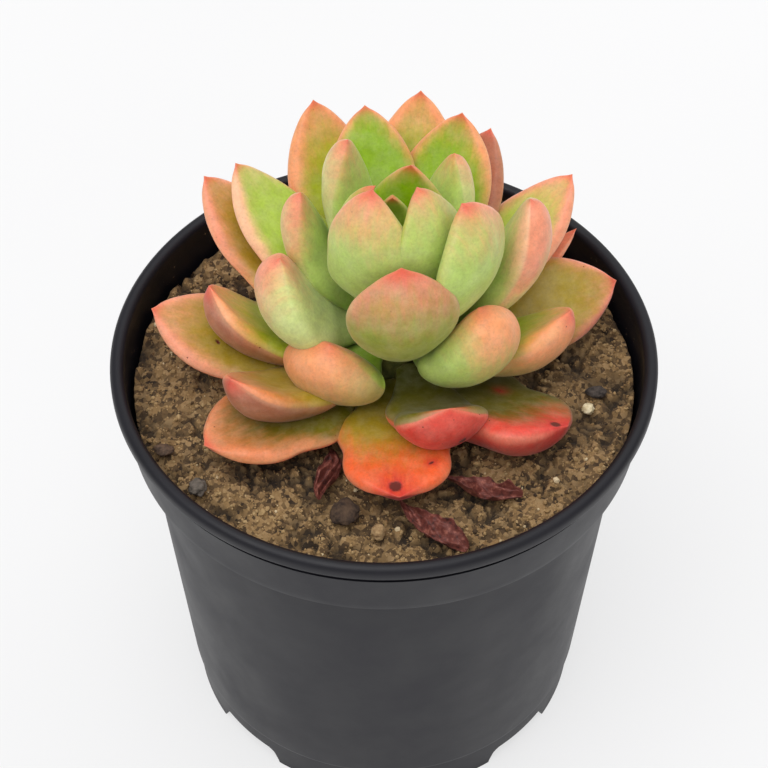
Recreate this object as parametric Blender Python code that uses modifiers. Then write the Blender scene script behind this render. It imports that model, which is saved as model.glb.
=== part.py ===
"""Potted succulent: a rosette of thick pointed leaves on a short stem, rooted in gritty soil
in a round black nursery pot, with a few dried leaves and pebbles lying on the soil.

Metres, +Z up. The pot's axis is the Z axis and its feet stand on z = 0. The front is -Y.
"""

import math

import bmesh
import bpy
from mathutils import Vector, noise

for old in list(bpy.data.objects):
    bpy.data.objects.remove(old, do_unlink=True)

MM = 0.001

# ---- driving sizes ----
RIM_DIAMETER = 105 * MM
POT_HEIGHT = 95 * MM
BASE_DIAMETER = 82 * MM  # across the feet
WALL = 1.4 * MM
LIP_WIDTH = 2.7 * MM  # how far the rolled lip reaches inwards
LIP_HEIGHT = 3.0 * MM
LIP_PROUD = 0.9 * MM  # how far the lip stands out from the band under it
BAND_HEIGHT = 15.5 * MM  # the upper band, down to its small step
BAND_TAPER = 1.6 * MM
BAND_STEP = 3.0 * MM
FOOT_HEIGHT = 9.0 * MM
NOTCH_HEIGHT = 4.6 * MM
NOTCH_WIDTH = 20 * MM
NOTCH_REACH = 16 * MM  # from side to side of the foot ring
DRAIN_DIAMETER = 9 * MM
DRAIN_CIRCLE = 24 * MM  # radius on which the outer drain holes lie
FLOOR_RAISE = 5.0 * MM  # the pot's floor above its feet
FLOOR_THICK = 1.8 * MM

HEADSPACE = 8.0 * MM  # from the top of the lip down to the soil
SOIL_BUMP = 0.8 * MM
STEM_X = 1.5 * MM
STEM_Y = 0.0 * MM
STEM_LOW_RADIUS = 6.0 * MM
STEM_TOP_RADIUS = 2.2 * MM
STEM_DEPTH = 22 * MM  # the root end, below the soil line
STEM_RISE = 26 * MM

CLEAR = 0.3 * MM  # between any two pieces that touch

LEAF_FIRST = 5.0 * MM  # attachment height of the oldest leaf, above the soil line
LEAF_PITCH = 0.62 * MM  # each younger leaf grows this much higher on the stem
LEAF_THICK = 7.4 * MM
LEAF_THICK_DRAWN = 7.4 * MM  # the thickness that the heights below are given for
LEAF_SPREAD = LEAF_THICK / LEAF_THICK_DRAWN  # thicker leaves grow further apart up the stem

AROUND = 64  # facets of the pot
RINGS = 11  # steps along a leaf
SPOKES = 12  # points round a leaf

SOIL_Z = POT_HEIGHT - HEADSPACE

# Lowest leaf first. Compass direction of the tip from the stem in degrees (270 is the front),
# reach of the tip from the stem, height of the tip above the soil line, width, cup, roll, and
# thickness as a share of LEAF_THICK.
LEAVES = [
    (214, 42.0, 7.5, 19.0, 1, -8, 0.76),
    (272, 36.0, 8.0, 20.0, 2, 0, 0.9),
    (328, 38.5, 9.5, 19.5, 8, -6, 0.9),
    (18, 46.0, 12.0, 19.0, 10, 18, 0.72),
    (175, 46.0, 15.0, 19.0, 18, -10, 0.85),
    (32, 42.5, 18.0, 12.5, 8, 0, 0.48),
    (296, 28.0, 19.5, 17.5, 19, 0, 0.93),
    (210, 34.2, 17.8, 16.0, 16, 7, 0.79),
    (357, 33.5, 19.5, 17.0, 20, -10, 0.9),
    (175, 34.5, 22.5, 16.0, 20, 12, 0.8),
    (39, 45.0, 27.0, 17.0, 12, 0, 0.65),
    (111, 42.5, 36.0, 18.0, 23, 0, 0.7),
    (228, 20.0, 25.0, 20.5, 38, 0, 0.9),
    (145, 44.0, 29.5, 17.0, 18, 0, 0.64),
    (62, 41.0, 31.8, 14.8, 20, 0, 0.5),
    (320, 22.5, 32.0, 19.5, 46, 0, 1.0),
    (140, 37.5, 34.0, 16.0, 14, 10, 0.75),
    (188, 22.5, 36.5, 18.0, 30, 0, 0.87),
    (82, 40.5, 38.0, 18.0, 23, 0, 0.58),
    (150, 20.0, 40.5, 13.5, 30, 10, 0.72),
    (68, 33.5, 40.5, 17.0, 20, -8, 0.7),
    (15, 27.5, 41.0, 16.0, 34, -10, 0.9),
    (277, 12.5, 43.5, 20.5, 48, 0, 1.0),
    (60, 20.5, 43.0, 13.0, 26, -30, 0.8),
    (99, 33.0, 41.0, 17.0, 14, -8, 0.7),
    (72, 11.0, 46.5, 16.0, 22, 0, 0.7),
    (118, 16.0, 50.0, 12.5, 28, 38, 0.8),
    (345, 15.0, 51.5, 17.0, 38, -25, 0.9),
    (170, 3.0, 51.0, 9.0, 26, 0, 0.6),
    (237, 4.6, 52.0, 15.5, 36, 0, 0.78),
    (319, 6.8, 53.0, 14.0, 33, -10, 0.7),
    (90, 3.0, 45.5, 7.0, 16, 0, 0.5),
]

# Along the leaf: share of the length, share of the width, share of the thickness.
OUTLINE = [
    (0.000, 0.00, 0.00),
    (0.020, 0.22, 0.26),
    (0.110, 0.30, 0.36),
    (0.230, 0.47, 0.54),
    (0.360, 0.72, 0.78),
    (0.490, 0.91, 0.94),
    (0.620, 1.00, 1.00),
    (0.740, 0.95, 0.95),
    (0.840, 0.77, 0.80),
    (0.920, 0.49, 0.56),
    (0.972, 0.21, 0.28),
    (1.000, 0.00, 0.00),
]


def collection(name):
    made = bpy.data.collections.new(name)
    bpy.context.scene.collection.children.link(made)
    return made


PART = collection("potted_succulent")
CUTTERS = collection("cutters")


def material(name, colour, roughness):
    made = bpy.data.materials.new(name)
    made.use_nodes = True
    shader = made.node_tree.nodes["Principled BSDF"]
    shader.inputs["Base Color"].default_value = (*colour, 1.0)
    shader.inputs["Roughness"].default_value = roughness
    return made


def add(name, mesh, where=PART):
    made = bpy.data.objects.new(name, mesh)
    where.objects.link(made)
    if where is CUTTERS:
        made.hide_render = True
        made.display_type = "WIRE"
    return made


def mesh_of(name, bm):
    bmesh.ops.recalc_face_normals(bm, faces=bm.faces)
    if bm.calc_volume(signed=True) < 0:
        bmesh.ops.reverse_faces(bm, faces=bm.faces)
    mesh = bpy.data.meshes.new(name)
    bm.to_mesh(mesh)
    bm.free()
    return mesh


def turned(name, profile, steps=AROUND, where=PART):
    """A closed solid: the profile, from axis to axis, turned about Z."""
    mesh = bpy.data.meshes.new(name)
    mesh.from_pydata([(r, 0.0, z) for r, z in profile], [(i, i + 1) for i in range(len(profile) - 1)], [])
    made = add(name, mesh, where)
    screw = made.modifiers.new("turn", "SCREW")
    screw.axis = "Z"
    screw.angle = math.tau
    screw.steps = screw.render_steps = steps
    screw.use_merge_vertices = True
    screw.merge_threshold = 0.00001
    screw.use_normal_calculate = True
    return made


def cut(target, cutter):
    boolean = target.modifiers.new(cutter.name, "BOOLEAN")
    boolean.operation = "DIFFERENCE"
    boolean.solver = "EXACT"
    boolean.object = cutter


# ---- pot ----
rim = RIM_DIAMETER / 2
base = BASE_DIAMETER / 2
band_top = rim - LIP_PROUD
band_low = band_top - BAND_TAPER
body_top = band_low - BAND_STEP
lip_z = POT_HEIGHT - LIP_HEIGHT
step_z = POT_HEIGHT - BAND_HEIGHT
floor_z = FLOOR_RAISE + FLOOR_THICK


def body_radius(z):
    """Outside of the tapering body below the band."""
    return base + (body_top - base) * z / step_z


pot_profile = [
    (0.0, FLOOR_RAISE),
    (base - WALL - 1.0 * MM, FLOOR_RAISE),
    (base - WALL - 0.4 * MM, 0.0),
    (base - 0.3 * MM, 0.0),
    (base, 0.3 * MM),
    (body_radius(FOOT_HEIGHT) - 0.1 * MM, FOOT_HEIGHT),
    (body_radius(FOOT_HEIGHT) + 0.3 * MM, FOOT_HEIGHT + 0.4 * MM),
    (body_top, step_z - 0.3 * MM),
    (band_low, step_z + 0.4 * MM),
    (band_top, lip_z),
    (rim - 0.2 * MM, lip_z + 0.3 * MM),
    (rim, lip_z + 1.0 * MM),
    (rim - 0.1 * MM, POT_HEIGHT - 0.8 * MM),
    (rim - 0.7 * MM, POT_HEIGHT - 0.1 * MM),
    (rim - 1.4 * MM, POT_HEIGHT),
    (rim - LIP_WIDTH + 0.4 * MM, POT_HEIGHT - 0.2 * MM),
    (rim - LIP_WIDTH, POT_HEIGHT - 0.8 * MM),
    (band_top - WALL - 0.5 * MM, lip_z - 0.6 * MM),
    (band_low - WALL, step_z + 0.6 * MM),
    (body_top - WALL, step_z - 0.4 * MM),
    (body_radius(floor_z) - WALL, floor_z + 0.8 * MM),
    (body_radius(floor_z) - WALL - 0.8 * MM, floor_z),
    (0.0, floor_z),
]
pot = turned("pot", pot_profile)
pot.data.materials.append(material("black_plastic", (0.035, 0.036, 0.038), 0.5))

for k in range(4):
    at = math.radians(45 + 90 * k)
    bm = bmesh.new()
    bmesh.ops.create_cube(bm, size=1.0)
    bmesh.ops.scale(bm, verts=bm.verts, vec=(NOTCH_REACH, NOTCH_WIDTH, 2 * NOTCH_HEIGHT))
    for v in bm.verts:
        if v.co.z > 0:
            v.co.y *= 0.72
    notch = add(f"notch_{k + 1}", mesh_of(f"notch_{k + 1}", bm), CUTTERS)
    notch.location = (base * math.cos(at), base * math.sin(at), 0.0)
    notch.rotation_euler.z = at
    cut(pot, notch)

for k in range(5):
    bm = bmesh.new()
    bmesh.ops.create_cone(
        bm, cap_ends=True, segments=16, radius1=DRAIN_DIAMETER / 2, radius2=DRAIN_DIAMETER / 2, depth=8 * MM
    )
    hole = add(f"drain_{k + 1}", mesh_of(f"drain_{k + 1}", bm), CUTTERS)
    at = math.radians(45 + 90 * k)
    out = 0.0 if k == 4 else DRAIN_CIRCLE
    hole.location = (out * math.cos(at), out * math.sin(at), FLOOR_RAISE + FLOOR_THICK / 2)
    cut(pot, hole)

# ---- soil ----
soil_side = [
    (0.0, floor_z + CLEAR),
    (body_radius(floor_z) - WALL - 1.0 * MM - CLEAR, floor_z + CLEAR),
    (body_radius(floor_z) - WALL - CLEAR, floor_z + 1.2 * MM),
    (body_top - WALL - CLEAR, step_z),
    (band_low - WALL - CLEAR, step_z + 1.4 * MM),
]
top_radius = band_low - WALL - CLEAR + 0.3 * MM
soil_top = [(top_radius * s, SOIL_Z) for s in (1.0, 0.93, 0.8, 0.66, 0.52, 0.38, 0.24)] + [(0.0, SOIL_Z)]


def bump(x, y):
    """Height of the rough soil above its mean level."""
    where = Vector((x, y, 0.0)) / (9 * MM)
    return SOIL_BUMP * (noise.noise(where) + 0.5 * noise.noise(where * 2.3 + Vector((3.1, 0.7, 5.0))))


soil = turned("soil", soil_side + soil_top, 48)
soil.data.materials.append(material("gritty_soil", (0.32, 0.25, 0.17), 0.95))
graph = bpy.context.evaluated_depsgraph_get()
shape = bpy.data.meshes.new_from_object(soil.evaluated_get(graph))
soil.modifiers.clear()
soil.data = shape
for v in shape.vertices:
    if v.co.z > SOIL_Z - 0.1 * MM:
        v.co.z += bump(v.co.x, v.co.y)


stem_rise = STEM_RISE * LEAF_SPREAD


def stem_radius(z):
    share = min(1.0, max(0.0, (z - SOIL_Z) / stem_rise))
    return STEM_LOW_RADIUS + (STEM_TOP_RADIUS - STEM_LOW_RADIUS) * share


# ---- stem ----
stem_profile = [
    (0.0, SOIL_Z - STEM_DEPTH),
    (STEM_LOW_RADIUS * 0.45, SOIL_Z - STEM_DEPTH + 0.5 * MM),
    (STEM_LOW_RADIUS * 0.8, SOIL_Z - STEM_DEPTH * 0.6),
    (STEM_LOW_RADIUS, SOIL_Z - 3 * MM),
    (stem_radius(SOIL_Z + 3 * MM), SOIL_Z + 3 * MM),
    (stem_radius(SOIL_Z + 10 * MM), SOIL_Z + 10 * MM),
    (stem_radius(SOIL_Z + 18 * MM), SOIL_Z + 18 * MM),
    (STEM_TOP_RADIUS, SOIL_Z + stem_rise - 1 * MM),
    (STEM_TOP_RADIUS * 0.6, SOIL_Z + stem_rise - 0.2 * MM),
    (0.0, SOIL_Z + stem_rise),
]
stem = turned("stem", stem_profile, 20)
stem.location = (STEM_X, STEM_Y, 0.0)
stem.data.materials.append(material("stem_bark", (0.25, 0.2, 0.1), 0.8))

bm = bmesh.new()
bmesh.ops.create_cone(
    bm,
    cap_ends=True,
    segments=20,
    radius1=STEM_LOW_RADIUS + 2 * CLEAR,
    radius2=STEM_LOW_RADIUS + 2 * CLEAR,
    depth=STEM_DEPTH + 10 * MM,
)
socket = add("stem_socket", mesh_of("stem_socket", bm), CUTTERS)
socket.location = (STEM_X, STEM_Y, SOIL_Z - STEM_DEPTH - CLEAR + (STEM_DEPTH + 10 * MM) / 2)
cut(soil, socket)


# ---- leaves ----
def bezier(a, b, c, d, t):
    s = 1 - t
    return a * s**3 + b * 3 * s * s * t + c * 3 * s * t * t + d * t**3


def leaf(name, order, turn, reach, rise, width, cup, roll, thick):
    """A fleshy leaf: nearly flat above, keeled below, widest two thirds of the way to its point."""
    start_z = (LEAF_FIRST + LEAF_PITCH * order) * LEAF_SPREAD
    start = Vector((stem_radius(SOIL_Z + start_z) + CLEAR, start_z))
    end = Vector((reach * MM, rise * MM * LEAF_SPREAD))
    length = (end - start).length
    slope = math.atan2(end.y - start.y, end.x - start.x)
    lean_in = math.radians(cup)
    first = start + Vector((math.cos(slope - lean_in), math.sin(slope - lean_in))) * length * 0.36
    last = end - Vector((math.cos(slope + lean_in), math.sin(slope + lean_in))) * length * 0.36
    bm = bmesh.new()
    bmesh.ops.create_uvsphere(bm, u_segments=SPOKES, v_segments=RINGS, radius=1.0)
    for v in bm.verts:
        ring = round((math.pi - math.acos(max(-1.0, min(1.0, v.co.z)))) / math.pi * RINGS)
        t, wide, deep = OUTLINE[ring]
        round_angle = math.atan2(v.co.y, v.co.x)
        across = math.cos(round_angle) if wide else 0.0
        upward = math.sin(round_angle) if wide else 0.0
        half = width * MM / 2 * wide
        depth = LEAF_THICK * thick * deep
        if upward > 0:
            rise_here = 0.20 * depth * upward**0.6 * (1 - 0.55 * (1 - across * across))
        else:
            rise_here = -0.85 * depth * abs(upward) ** 1.25
        here = bezier(start, first, last, end, t)
        ahead = bezier(start, first, last, end, min(1.0, t + 0.01))
        behind = bezier(start, first, last, end, max(0.0, t - 0.01))
        along = (ahead - behind).normalized()
        normal = Vector((-along.y, along.x))
        twist = math.radians(roll) * t
        side = half * across * math.cos(twist) - rise_here * math.sin(twist)
        lift = half * across * math.sin(twist) + rise_here * math.cos(twist)
        spot = here + normal * lift
        v.co = (spot.x, side, spot.y)
    made = add(name, mesh_of(name, bm))
    made.location = (STEM_X, STEM_Y, SOIL_Z)
    made.rotation_euler.z = math.radians(turn)
    return made


young = Vector((0.30, 0.50, 0.14))
old = Vector((0.75, 0.22, 0.12))
for order, numbers in enumerate(LEAVES):
    made = leaf(f"leaf_{order + 1:02d}", order, *numbers)
    share = order / (len(LEAVES) - 1)
    made.data.materials.append(material(f"leaf_skin_{order + 1:02d}", old.lerp(young, share), 0.45))


# ---- dried leaves lying on the soil ----
def dried_leaf(name, x, y, heading, long, wide, curl, thick, droop):
    """A thin shrivelled leaf, curled about its length and pointed at both ends."""
    bm = bmesh.new()
    bmesh.ops.create_grid(bm, x_segments=9, y_segments=6, size=1.0)
    for v in bm.verts:
        along, across = v.co.x, v.co.y
        narrow = 0.30 + 0.70 * math.sqrt(max(0.0, 1 - along * along))
        half = wide / 2 * narrow
        swing = math.radians(curl) / 2 * across
        bend = half / (math.radians(curl) / 2)
        wave = 0.5 * MM * math.sin(5 * along + 2 * across)
        v.co.x = along * long / 2
        v.co.y = bend * math.sin(swing) + 0.8 * MM * math.sin(2.6 * along)
        v.co.z = bend * (1 - math.cos(swing)) + wave + droop * along * along
    mesh = bpy.data.meshes.new(name)
    bm.to_mesh(mesh)
    bm.free()
    made = add(name, mesh)
    shell = made.modifiers.new("thickness", "SOLIDIFY")
    shell.thickness = thick
    shell.offset = 1.0
    shell.use_even_offset = False
    made.location = (x, y, SOIL_Z + bump(x, y) + 1.8 * MM)
    made.rotation_euler = (0.0, 0.0, math.radians(heading))
    made.data.materials.append(material(name + "_skin", (0.12, 0.03, 0.025), 0.7))
    return made


dried_leaf("dried_leaf_1", 8.8 * MM, -37.8 * MM, -52, 12 * MM, 7.5 * MM, 130, 0.9 * MM, 0.6 * MM)
dried_leaf("dried_leaf_2", 18.5 * MM, -29.0 * MM, -20, 11 * MM, 6.5 * MM, 150, 0.9 * MM, 0.6 * MM)
dried_leaf("dried_leaf_3", -10.5 * MM, -25.5 * MM, 72, 9 * MM, 5.5 * MM, 110, 0.9 * MM, 0.4 * MM)


# ---- pebbles and crumbs lying on the soil ----
def pebble(name, x, y, size, seed, colour, roughness):
    """A small stone: three half-sizes and a seed for its lumps."""
    bm = bmesh.new()
    bmesh.ops.create_icosphere(bm, subdivisions=2, radius=1.0)
    for v in bm.verts:
        lump = 1 + 0.16 * noise.noise(v.co * 1.3 + Vector((seed, 2.0 * seed, 0.5)))
        v.co = Vector((v.co.x * size[0], v.co.y * size[1], v.co.z * size[2])) * lump
    made = add(name, mesh_of(name, bm))
    made.location = (x, y, SOIL_Z + bump(x, y) + size[2] * 1.1 + 0.5 * MM)
    made.rotation_euler.z = seed
    made.data.materials.append(material(name + "_stone", colour, roughness))
    return made


pebble("pebble_cream", 39.0 * MM, -8.8 * MM, (1.5 * MM, 1.2 * MM, 1.0 * MM), 1, (0.7, 0.6, 0.42), 0.7)
pebble("pebble_grey", -34.6 * MM, -28.7 * MM, (2.3 * MM, 1.8 * MM, 1.4 * MM), 2, (0.12, 0.1, 0.09), 0.8)
pebble("pebble_brown", -41.5 * MM, -19.7 * MM, (2.2 * MM, 1.5 * MM, 1.2 * MM), 3, (0.1, 0.07, 0.05), 0.8)
pebble("crumb_dark", -7.2 * MM, -34.5 * MM, (3.8 * MM, 2.6 * MM, 1.6 * MM), 4, (0.07, 0.05, 0.04), 0.95)
pebble("crumb_tan", -1.0 * MM, -39.0 * MM, (1.9 * MM, 1.5 * MM, 1.2 * MM), 5, (0.4, 0.3, 0.2), 0.95)
pebble("bark_chip", 41.0 * MM, -5.0 * MM, (2.6 * MM, 1.3 * MM, 0.9 * MM), 6, (0.06, 0.05, 0.045), 0.9)
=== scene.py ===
"""Looks of the potted succulent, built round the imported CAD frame."""

import math

import bmesh
import bpy
import numpy as np
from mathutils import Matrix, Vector, noise


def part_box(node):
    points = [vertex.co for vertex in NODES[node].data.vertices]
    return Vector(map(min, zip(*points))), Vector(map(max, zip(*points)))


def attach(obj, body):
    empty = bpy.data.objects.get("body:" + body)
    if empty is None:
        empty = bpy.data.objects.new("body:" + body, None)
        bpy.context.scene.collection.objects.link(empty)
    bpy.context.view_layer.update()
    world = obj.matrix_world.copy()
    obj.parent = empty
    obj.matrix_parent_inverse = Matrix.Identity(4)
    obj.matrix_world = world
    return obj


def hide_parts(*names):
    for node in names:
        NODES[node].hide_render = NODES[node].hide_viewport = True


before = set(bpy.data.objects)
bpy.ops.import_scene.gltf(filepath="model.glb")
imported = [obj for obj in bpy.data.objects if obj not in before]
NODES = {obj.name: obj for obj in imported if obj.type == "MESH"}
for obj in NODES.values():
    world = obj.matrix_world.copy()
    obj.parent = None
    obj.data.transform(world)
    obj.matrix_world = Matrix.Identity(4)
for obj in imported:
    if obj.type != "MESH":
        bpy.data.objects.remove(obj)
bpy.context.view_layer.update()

MM = 0.001
RANDOM = np.random.default_rng(7)

POT_LOW, POT_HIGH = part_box("pot")
STEM_LOW, STEM_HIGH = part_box("stem")
RIM = (POT_HIGH.x - POT_LOW.x) / 2
POT_HEIGHT = POT_HIGH.z
STEM = Vector(((STEM_LOW.x + STEM_HIGH.x) / 2, (STEM_LOW.y + STEM_HIGH.y) / 2, 0.0))
HEADSPACE = 8.0 * MM
SOIL_Z = POT_HEIGHT - HEADSPACE  # mean level of the soil


# ---- helpers ----
def srgb(r, g, b):
    """A colour given as 0-255 screen values, made linear."""
    out = []
    for c in (r, g, b):
        c /= 255
        out.append(c / 12.92 if c <= 0.04045 else ((c + 0.055) / 1.055) ** 2.4)
    return (*out, 1.0)


def smooth(low, high, x):
    """Eased step from 0 at low to 1 at high."""
    s = np.clip((x - low) / (high - low), 0.0, 1.0)
    return s * s * (3 - 2 * s)


def spline(xs, ys, x):
    """Smooth curve through ys at xs, read at x."""
    xs, ys = np.asarray(xs, float), np.asarray(ys, float)
    slope = np.empty_like(ys)
    slope[1:-1] = (ys[2:] - ys[:-2]) / (xs[2:] - xs[:-2]).reshape((-1,) + (1,) * (ys.ndim - 1))
    slope[0] = (ys[1] - ys[0]) / (xs[1] - xs[0])
    slope[-1] = (ys[-1] - ys[-2]) / (xs[-1] - xs[-2])
    i = np.clip(np.searchsorted(xs, x) - 1, 0, len(xs) - 2)
    h = xs[i + 1] - xs[i]
    s = (x - xs[i]) / h
    shape = (-1,) + (1,) * (ys.ndim - 1)
    s, h = s.reshape(shape), h.reshape(shape)
    return (
        (2 * s**3 - 3 * s**2 + 1) * ys[i]
        + (s**3 - 2 * s**2 + s) * h * slope[i]
        + (-2 * s**3 + 3 * s**2) * ys[i + 1]
        + (s**3 - s**2) * h * slope[i + 1]
    )


def unit(v):
    """Vectors of length 1, in rows."""
    return v / np.maximum(np.linalg.norm(v, axis=-1, keepdims=True), 1e-12)


def piece(name, points, faces, material, replaces=(), attributes=None, flat=False):
    """A new object that rides on the root body."""
    mesh = bpy.data.meshes.new(name)
    mesh.from_pydata([tuple(p) for p in np.asarray(points, float)], [], [tuple(f) for f in faces])
    for key, values in (attributes or {}).items():
        made = mesh.attributes.new(key, "FLOAT", "POINT")
        made.data.foreach_set("value", np.asarray(values, np.float32).ravel())
    mesh.polygons.foreach_set("use_smooth", [not flat] * len(mesh.polygons))
    mesh.materials.append(material)
    mesh.validate()
    obj = bpy.data.objects.new(name, mesh)
    bpy.context.scene.collection.objects.link(obj)
    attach(obj, "root")
    if replaces:
        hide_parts(*replaces)
    return obj


class Nodes:
    """Short ways to write a material's node tree."""

    def __init__(self, name):
        self.material = bpy.data.materials.new(name)
        self.material.use_nodes = True
        self.tree = self.material.node_tree
        self.shader = self.tree.nodes["Principled BSDF"]

    def link(self, a, b):
        self.tree.links.new(a, b)

    def add(self, kind, **settings):
        node = self.tree.nodes.new(kind)
        for key, value in settings.items():
            setattr(node, key, value)
        return node

    def put(self, socket, value):
        if isinstance(value, bpy.types.NodeSocket):
            self.link(value, socket)
        else:
            socket.default_value = value

    def attribute(self, name):
        return self.add("ShaderNodeAttribute", attribute_name=name).outputs["Fac"]

    def math(self, operation, a, b=0.0, clamp=False):
        node = self.add("ShaderNodeMath", operation=operation, use_clamp=clamp)
        self.put(node.inputs[0], a)
        self.put(node.inputs[1], b)
        return node.outputs[0]

    def mix(self, factor, a, b, blend="MIX"):
        node = self.add("ShaderNodeMix", data_type="RGBA", blend_type=blend)
        self.put(node.inputs["Factor"], factor)
        self.put(node.inputs[6], a)
        self.put(node.inputs[7], b)
        return node.outputs[2]

    def noise(self, size, detail=3.0, rough=0.5, place=None):
        """Noise whose features are about size metres across."""
        node = self.add("ShaderNodeTexNoise")
        place = place or self.add("ShaderNodeTexCoord").outputs["Object"]
        self.link(place, node.inputs["Vector"])
        node.inputs["Scale"].default_value = 1.0 / size
        node.inputs["Detail"].default_value = detail
        node.inputs["Roughness"].default_value = rough
        return node.outputs["Fac"]

    def cells(self, size, feature="F1", output="Distance"):
        node = self.add("ShaderNodeTexVoronoi", feature=feature)
        self.link(self.add("ShaderNodeTexCoord").outputs["Object"], node.inputs["Vector"])
        node.inputs["Scale"].default_value = 1.0 / size
        return node.outputs[output]

    def ramp(self, factor, stops, interpolation="EASE"):
        """stops: (position, colour or grey)."""
        node = self.add("ShaderNodeValToRGB")
        node.color_ramp.interpolation = interpolation
        elements = node.color_ramp.elements
        while len(elements) < len(stops):
            elements.new(0.5)
        for element, (at, value) in zip(elements, stops):
            element.position = at
            element.color = value if isinstance(value, tuple) else (value, value, value, 1.0)
        self.put(node.inputs[0], factor)
        return node.outputs["Color"]

    def bump(self, height, distance, strength=1.0, normal=None):
        node = self.add("ShaderNodeBump")
        node.inputs["Distance"].default_value = distance
        node.inputs["Strength"].default_value = strength
        self.link(height, node.inputs["Height"])
        if normal is not None:
            self.link(normal, node.inputs["Normal"])
        return node.outputs["Normal"]

    def finish(self, **sockets):
        for key, value in sockets.items():
            self.put(self.shader.inputs[key.replace("_", " ")], value)
        return self.material


# ---- leaves ----
AROUND, ALONG = 64, 54  # points round a skin, and steps along it

COLOURS = {
    "wax": srgb(238, 228, 200),
    "pale": srgb(208, 220, 140),
    "mint": srgb(182, 206, 106),
    "lime": srgb(174, 198, 74),
    "straw": srgb(196, 180, 104),
    "fresh": srgb(160, 176, 24),
    "leaf": srgb(140, 176, 10),
    "olive": srgb(166, 142, 34),
    "moss": srgb(108, 100, 12),
    "cream": srgb(240, 206, 160),
    "peach": srgb(246, 190, 150),
    "apricot": srgb(242, 160, 108),
    "salmon": srgb(240, 154, 120),
    "rose": srgb(238, 144, 122),
    "coral": srgb(222, 76, 62),
    "orange": srgb(240, 102, 50),
    "red": srgb(204, 50, 48),
    "amber": srgb(226, 134, 84),
    "dusk": srgb(164, 108, 60),
    "plum": srgb(188, 118, 90),
    "sage": srgb(150, 160, 62),
    "blush": srgb(222, 132, 108),
}

# One row per leaf, lowest first. For the upper face and then the underside: colour near the base,
# colour at the end, and the share of the length where one gives way to the other. Then how much
# more the two margins are blushed than the middle, and how far the blush leans to the left margin.
STYLES = [
    ("moss", "amber", 0.76, "orange", "orange", 0.40, 0.36, 0.10),
    ("olive", "orange", 0.62, "orange", "coral", 0.50, 0.22, 0.0),
    ("moss", "coral", 0.80, "orange", "coral", 0.45, 0.16, -0.40),
    ("olive", "rose", 0.92, "plum", "rose", 0.60, 0.36, -0.06),
    ("olive", "salmon", 0.84, "orange", "orange", 0.40, 0.36, 0.06),
    ("apricot", "salmon", 0.40, "salmon", "salmon", 0.50, 0.20, 0.0),
    ("moss", "moss", 0.90, "orange", "coral", 0.50, 0.00, 0.0),
    ("olive", "amber", 0.80, "dusk", "plum", 0.80, 0.16, 0.0),
    ("fresh", "apricot", 0.80, "straw", "apricot", 0.72, 0.16, 0.0),
    ("fresh", "apricot", 0.80, "dusk", "plum", 0.75, 0.16, 0.0),
    ("lime", "salmon", 0.80, "salmon", "salmon", 0.50, 0.44, -0.06),
    ("fresh", "apricot", 0.80, "salmon", "salmon", 0.50, 0.46, 0.14),
    ("lime", "apricot", 0.70, "straw", "apricot", 0.66, 0.00, -0.24),
    ("olive", "salmon", 0.88, "salmon", "salmon", 0.50, 0.40, 0.16),
    ("dusk", "plum", 0.50, "plum", "plum", 0.50, 0.10, 0.0),
    ("mint", "apricot", 0.70, "mint", "apricot", 0.70, 0.00, 0.26),
    ("lime", "peach", 0.90, "salmon", "salmon", 0.50, 0.50, 0.24),
    ("pale", "salmon", 0.78, "pale", "salmon", 0.74, 0.00, -0.26),
    ("fresh", "apricot", 0.80, "salmon", "salmon", 0.50, 0.44, 0.0),
    ("mint", "salmon", 0.88, "pale", "salmon", 0.84, 0.00, 0.16),
    ("leaf", "apricot", 0.90, "salmon", "salmon", 0.50, 0.44, 0.0),
    ("mint", "peach", 0.84, "pale", "salmon", 0.74, 0.00, -0.30),
    ("sage", "blush", 0.84, "sage", "blush", 0.82, 0.04, 0.0),
    ("mint", "apricot", 0.94, "pale", "salmon", 0.88, 0.00, 0.10),
    ("leaf", "apricot", 0.96, "salmon", "salmon", 0.50, 0.40, 0.0),
    ("leaf", "apricot", 0.98, "fresh", "apricot", 0.92, 0.12, 0.0),
    ("mint", "salmon", 0.92, "pale", "salmon", 0.88, 0.00, 0.10),
    ("mint", "salmon", 0.88, "mint", "salmon", 0.88, 0.06, 0.20),
    ("lime", "salmon", 0.90, "lime", "salmon", 0.92, 0.00, 0.0),
    ("lime", "salmon", 0.90, "mint", "salmon", 0.84, 0.04, -0.08),
    ("lime", "salmon", 0.94, "mint", "salmon", 0.94, 0.00, 0.0),
    ("lime", "lime", 0.90, "lime", "lime", 0.90, 0.00, 0.0),
]

# A plain leaf. Lengths are in millimetres, angles in degrees, and the rest are shares.
PLAIN = {
    "shift": (0, 0),  # of the tip in x and y
    "drop": 0,  # how much lower the hidden base lies
    "lower": 0,  # how much lower all but the base lies
    "sag": 0,  # of the middle
    "curl": 0,  # of the end towards the upper face
    "roll": 0,  # left margin towards the upper face
    "swing": 0,  # round the stem
    "full": 1.0,  # depth of the underside over that of the solid
    "broad": 1.0,  # width over that of the solid
    "dome": 0,  # bulge of the upper face over half the width; with 0 the face is dished
    "sharp": 0.12,  # how much narrower towards the tip
    "root": 0.45,  # how much wider towards the base
    "keel": 1.0,  # how marked the ridge below is
}

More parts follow.
